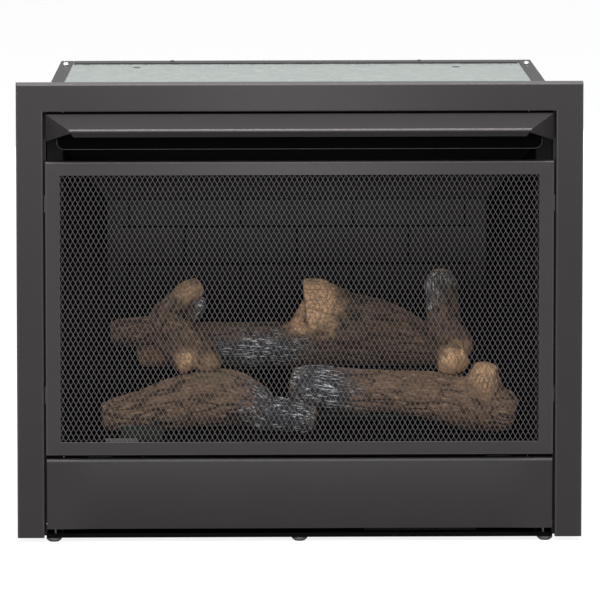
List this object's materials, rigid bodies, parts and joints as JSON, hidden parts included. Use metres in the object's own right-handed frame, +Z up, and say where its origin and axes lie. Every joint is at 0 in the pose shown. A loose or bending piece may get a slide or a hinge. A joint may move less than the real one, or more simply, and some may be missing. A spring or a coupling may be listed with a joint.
{
  "type": "gas fireplace insert",
  "caption": "Black vent-free gas fireplace insert: steel firebox, hood, pull-off expanded-metal screen, drop-down control door and ceramic logs.",
  "frame": {"origin": "on the floor, under the middle of the whole object", "axes": "+Z up, +X along the width, the front looks along -Y"},
  "size_m": [0.735, 0.337, 0.605],
  "materials": {
    "powder_coat": "fine-textured black powder coat",
    "stove_paint": "matt heat-proof paint",
    "galvanised": "galvanised sheet",
    "steel": "bare and aluminised steel",
    "brass": "machined brass",
    "cast_aluminium": "die cast",
    "black_plastic": "moulded black plastic",
    "red_plastic": "moulded red plastic",
    "rubber": "grey rubber",
    "ceramic": "glazed white ceramic",
    "log_bark": "painted ceramic fibre with a bark texture"
  },
  "bodies": {
    "casing": {"side_panel_left": "powder_coat", "side_panel_right": "powder_coat", "back_panel": "powder_coat", "base_pan": "powder_coat", "front_surround": "powder_coat", "hood": "powder_coat", "front_post_left": "stove_paint", "front_post_right": "stove_paint", "hood_baffle": "stove_paint", "firebox_floor": "stove_paint", "firebox_rear_wall": "stove_paint", "firebox_side_wall_left": "stove_paint", "firebox_side_wall_right": "stove_paint", "firebox_roof": "stove_paint", "front_log_grate": "stove_paint", "rear_log_rest": "stove_paint", "top_panel": "galvanised", "top_screw_left": "galvanised", "top_screw_right": "galvanised", "hinge_bracket_left": "steel", "hinge_bracket_right": "steel", "burner_tube": "steel", "pilot_bracket": "steel", "thermocouple": "steel", "control_panel": "steel", "valve_supply_pipe": "steel", "burner_pipe": "steel", "pilot_pipe": "steel", "pilot_burner": "brass", "gas_inlet": "brass", "burner_injector": "brass", "gas_valve": "cast_aluminium", "gas_regulator": "cast_aluminium", "door_catch_left": "black_plastic", "door_catch_right": "black_plastic", "igniter_body": "black_plastic", "foot_front_left": "rubber", "foot_front_middle": "rubber", "foot_front_right": "rubber", "foot_back_left": "rubber", "foot_back_right": "rubber", "spark_lead": "rubber", "spark_electrode": "ceramic", "rear_log": "log_bark", "left_front_log": "log_bark", "right_front_log": "log_bark", "left_branch_log": "log_bark", "right_branch_log": "log_bark"},
    "screen": {"screen_frame": "powder_coat", "screen_mesh": "powder_coat", "screen_clip_left_lower": "steel", "screen_clip_left_upper": "steel", "screen_clip_right_lower": "steel", "screen_clip_right_upper": "steel"},
    "door": {"lower_door": "powder_coat", "hinge_pin_left": "steel", "hinge_pin_right": "steel"},
    "stem": {"control_stem": "steel"},
    "knob": {"control_knob": "black_plastic"},
    "button": {"igniter_button": "red_plastic"}
  },
  "joints": [
    {"name": "screen_pull_off", "type": "slide", "parent": "casing", "child": "screen", "axis": [0, -1, 0], "range_m": [0, 0.12]},
    {"name": "lower_door_hinge", "type": "hinge", "parent": "casing", "child": "door", "pos_m": [0, -0.1195, 0.0236], "axis": [1, 0, 0], "range_deg": [0, 90]},
    {"name": "knob_push", "type": "slide", "parent": "casing", "child": "stem", "axis": [0, 1, 0], "range_m": [0, 0.003], "stiffness_N_per_m": 600},
    {"name": "knob_turn", "type": "hinge", "parent": "stem", "child": "knob", "pos_m": [0.185, -0.094, 0.062], "axis": [0, -1, 0], "range_deg": [0, 240]},
    {"name": "igniter_push", "type": "slide", "parent": "casing", "child": "button", "axis": [0, 1, 0], "range_m": [0, 0.005], "stiffness_N_per_m": 900}
  ]
}
